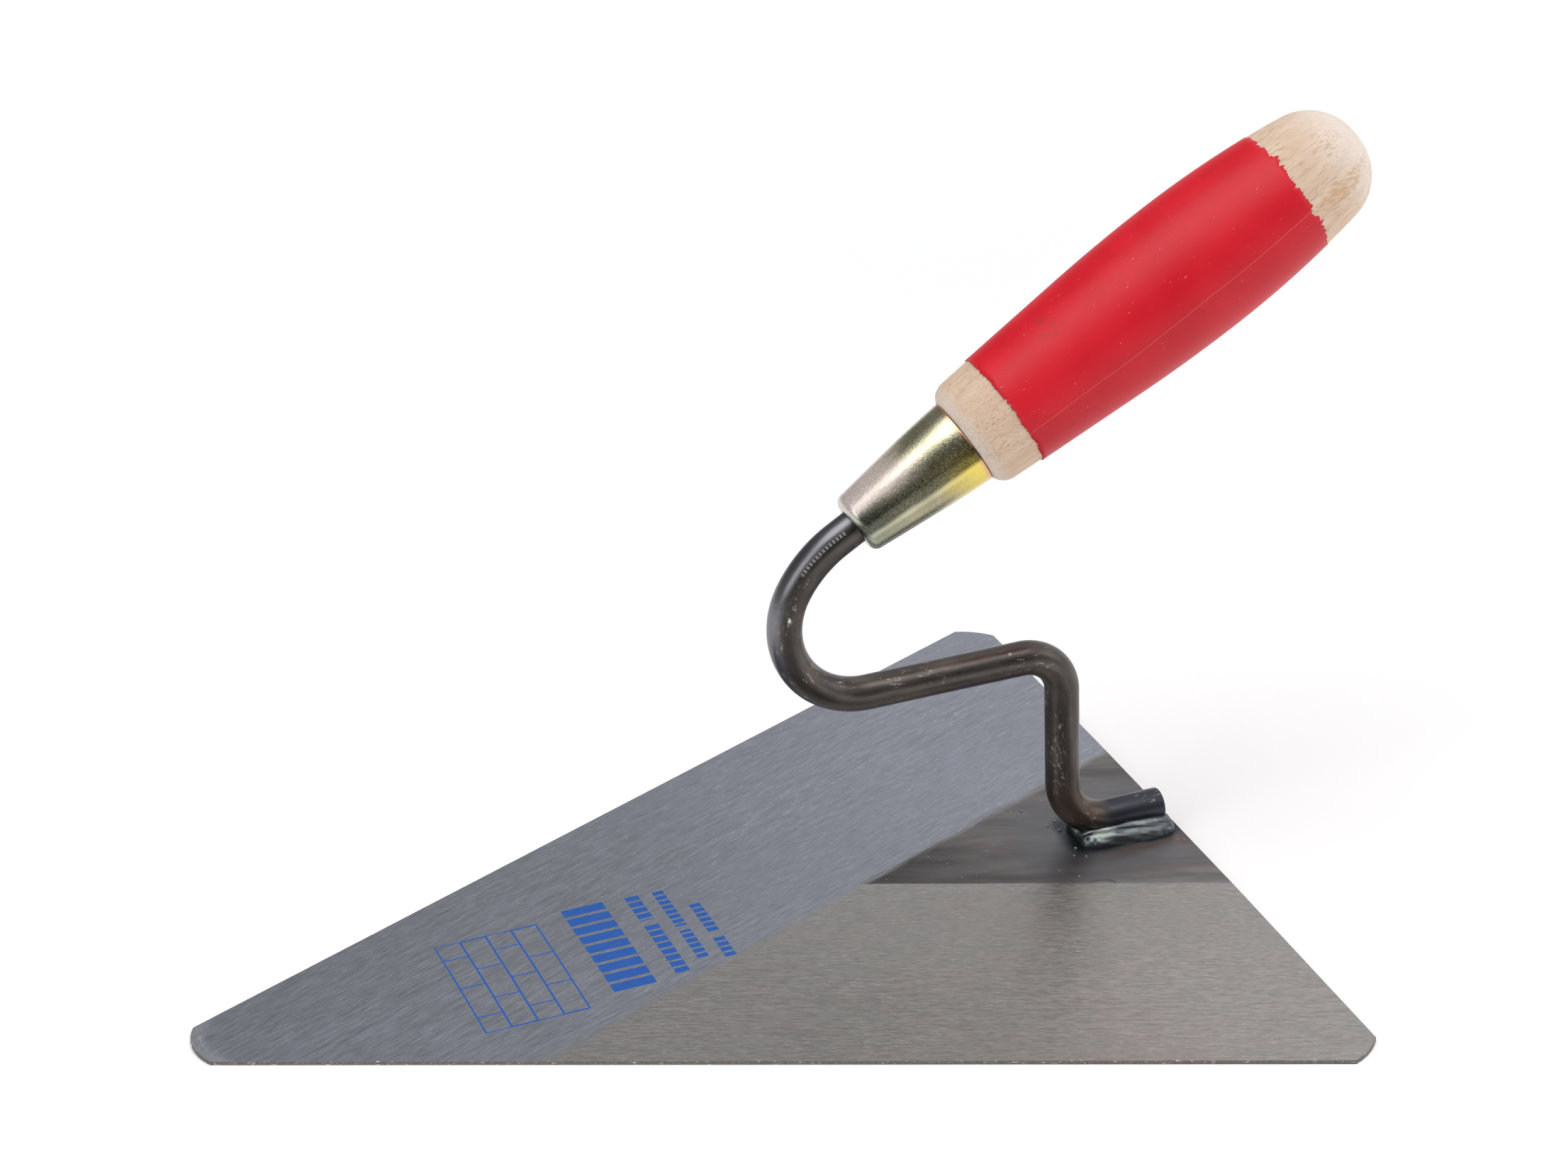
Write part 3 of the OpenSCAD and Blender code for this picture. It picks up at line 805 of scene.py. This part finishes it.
def crept(angle, size, seed, tooth):
    """How far the coat has crept along the grain at an angle round the handle. One long tooth
    stands out of its butt end."""
    round_place = Vector((math.cos(angle), math.sin(angle), 0)) * belly_r / mm
    fine = noise.noise(round_place / 0.55 + Vector((0, 0, seed)))
    broad = noise.noise(round_place / 3.5 + Vector((0, 0, seed)))
    spike = max(0.0, noise.noise(round_place / 1.3 + Vector((0, 0, seed + 5)))) ** 2
    single = max(0.0, 1 - abs(angle - tooth_angle) / 0.10) * tooth
    return size * (0.75 * fine + 0.45 * broad + 2.4 * spike) + single


def lacquer_material():
    made, place = new_material("red_lacquer")
    local = place.seen_from(origin=mouth / mm, turn=handle_turn)
    along, side, up = local.xyz()
    cloud = local.noise(18, 3)
    fibre = local.seen_from(size=(12, 0.5, 0.5)).noise(detail=3)
    colour = cloud.smooth(0.3, 0.7).mix(lacquer_red, lacquer_bright)
    dust = local.noise(0.6, 0).smooth(0.84, 0.86)
    colour = (dust * 0.5).mix(colour, (0.85, 0.35, 0.32))
    waver = (local.seen_from(size=(30, 90, 90)).noise() - 0.5) * 1.0
    seam = abs(up + 0.3 - along * 0.021 + waver).smooth(0.17, 0.06)
    seam = seam * side.smooth(-2, -4)
    colour = (seam * 0.3).mix(colour, (0.85, 0.25, 0.2))
    smudge = ((along - 34) * 0.22).math("POWER", 2.0) + ((up - 16.2) * 0.45).math("POWER", 2.0)
    rubbed = local.seen_from(size=(3, 1, 1)).noise(detail=4).smooth(0.5, 0.64)
    smudge = smudge.smooth(1.0, 0.1) * rubbed
    colour = (smudge * side.smooth(0, -3) * 0.4).mix(colour, (0.18, 0.03, 0.03))
    wiped = local.seen_from(size=(45, 5, 5)).noise(detail=2)
    colour = colour.tone(0.90 + wiped * 0.20)
    rough = 0.34 + cloud * 0.10 + wiped * 0.16 + dust * 0.1
    relief = fibre.bump(0.012 * mm)
    relief = local.noise(4.5, 2).bump(0.05 * mm, relief)
    relief = seam.bump(0.03 * mm, relief)
    coat(place, Base_Color=colour, Roughness=rough, Normal=relief, Specular_IOR_Level=0.35)
    return made


lacquer = bmesh.new()
slope_line = Vector((math.cos(swell_slope), 0, math.sin(swell_slope)))
front = swell_start - slope_line * ((swell_start.x - coat_from) / slope_line.x)
start = lacquer.verts.new(front)
first_ring = start.co.copy()
tip = line_on(lacquer, start, swell_start, 24)
tip = arc_on(lacquer, tip, swell_centre, math.pi / 2, 16)
coat_end = math.pi / 2 - math.asin((coat_to - belly_at) / tail_r)
tip = arc_on(lacquer, tip, tail_centre, coat_end, 24)
last_ring = tip.co.copy()
inward = Vector((0, 0, -coat_depth))
sunk = [line_on(lacquer, start, first_ring + inward), line_on(lacquer, tip, last_ring + inward)]
lacquer.edges.new(sunk)
for vert in lacquer.verts:
    if vert not in sunk:
        vert.co.z += coat_proud
turn_on_handle(lacquer, 384)
for vert in lacquer.verts:
    angle = math.atan2(vert.co.z, vert.co.y)
    outward = Vector((0, math.cos(angle), math.sin(angle)))
    for ring, size, seed, tooth, slope in (
            (first_ring, 0.5, 2.0, 0.0, math.tan(swell_slope)),
            (last_ring, 1.15, 7.0, 1.7, -math.tan(math.pi / 2 - coat_end))):
        share = 1 - abs(vert.co.x - ring.x) / ragged_reach
        if share > 0:
            shift = crept(angle, size, seed, tooth) * mm * share
            vert.co += Vector((shift, 0, 0)) + outward * shift * slope
bmesh.ops.transform(lacquer, matrix=on_handle, verts=lacquer.verts)
finish_piece(lacquer, "lacquer_coat", [lacquer_material()], "red_lacquer", "lacquer_band")


# ---- Studio ----
# A plain pale floor under a large softbox and two weak fills, in a pale room that is dark behind
# the camera, which stands in front of the near edge.

camera_at = Vector((0.4278, 0.9490, 0.6139))
camera_lens = 99.77
camera_yaw = math.radians(-20.17)
camera_pitch = math.radians(27.03)
camera_roll = math.radians(-2.27)
forward = Vector((
    math.sin(camera_yaw) * math.cos(camera_pitch),
    -math.cos(camera_yaw) * math.cos(camera_pitch),
    -math.sin(camera_pitch),
))
level = forward.cross(Vector((0, 0, 1))).normalized()
upward = level.cross(forward)
right_side = level * math.cos(camera_roll) + upward * math.sin(camera_roll)
top_side = upward * math.cos(camera_roll) - level * math.sin(camera_roll)
camera = bpy.data.objects.new("camera", bpy.data.cameras.new("camera"))
camera.data.lens = camera_lens
camera.data.sensor_width = 36
camera_turn = Matrix((right_side, top_side, -forward)).transposed().to_4x4()
camera.matrix_world = Matrix.Translation(camera_at) @ camera_turn
bpy.context.scene.collection.objects.link(camera)
bpy.context.scene.camera = camera
bpy.context.scene.view_settings.view_transform = "Standard"

floor_bm = bmesh.new()
bmesh.ops.create_circle(floor_bm, cap_ends=True, segments=96, radius=8)
floor_mesh = bpy.data.meshes.new("floor")
floor_bm.to_mesh(floor_mesh)
floor_bm.free()
floor = bpy.data.objects.new("floor", floor_mesh)
bpy.context.scene.collection.objects.link(floor)
floor_paint, floor_place = new_material("pale_floor")
floor_x, floor_y = floor_place.xyz()[:2]
away = (floor_x * floor_x + floor_y * floor_y).math("SQRT").smooth(300, 850)
floor_glow = away.mix((0.2, 0.2, 0.2), (1, 1, 1))
coat(floor_place, Base_Color=(0.94, 0.94, 0.94), Roughness=0.9, Emission_Color=floor_glow,
     Emission_Strength=0.25)
floor_mesh.materials.append(floor_paint)

world = bpy.data.worlds.new("studio")
world.use_nodes = True
world.node_tree.nodes.clear()
sky = Wire(world.node_tree)
way = sky.node("TexCoord", out="Generated")
across, behind, height = way.xyz()
glow = height.node("ValToRGB", {"stops": [
    (0.0, (0.80, 0.80, 0.80)),
    (0.12, (0.46, 0.46, 0.47)),
    (0.60, (0.42, 0.42, 0.43)),
    (0.80, (0.75, 0.75, 0.76)),
    (1.0, (0.85, 0.85, 0.86)),
]}, {0: height})
glow = glow.tone(behind.smooth(0.2, -0.3).blend(1.0, across.smooth(0.05, -0.60) * 1.45 + 0.36))
room = way.node("VectorMath", {"operation": "DOT_PRODUCT"}, {0: way, 1: (0.36, 0.88, 0.30)}, 1)
glow = (room.smooth(0.45, 0.88) * 0.95).mix(glow, (0.02, 0.02, 0.02))
backdrop = sky.node("Background", (), {"Color": glow, "Strength": 1.0})
sky.node("OutputWorld", (), {"Surface": backdrop})
bpy.context.scene.world = world


def softbox(name, place, aim, width, height, power):
    """A large soft light that faces a point."""
    lamp = bpy.data.lights.new(name, "AREA")
    lamp.shape = "RECTANGLE"
    lamp.size, lamp.size_y = width, height
    lamp.energy = power
    held = bpy.data.objects.new(name, lamp)
    held.location = place
    held.rotation_euler = (Vector(aim) - Vector(place)).to_track_quat("-Z", "Y").to_euler()
    bpy.context.scene.collection.objects.link(held)


softbox("overhead", (0.2, 0.25, 1.5), (0.05, 0, 0.05), 1.9, 1.2, 17.5)
softbox("left_fill", (1.5, 0.5, 0.9), (0.05, 0, 0.1), 0.9, 0.9, 5)
softbox("right_fill", (-1.4, 0.6, 0.8), (0, 0, 0.1), 0.9, 0.9, 3.5)
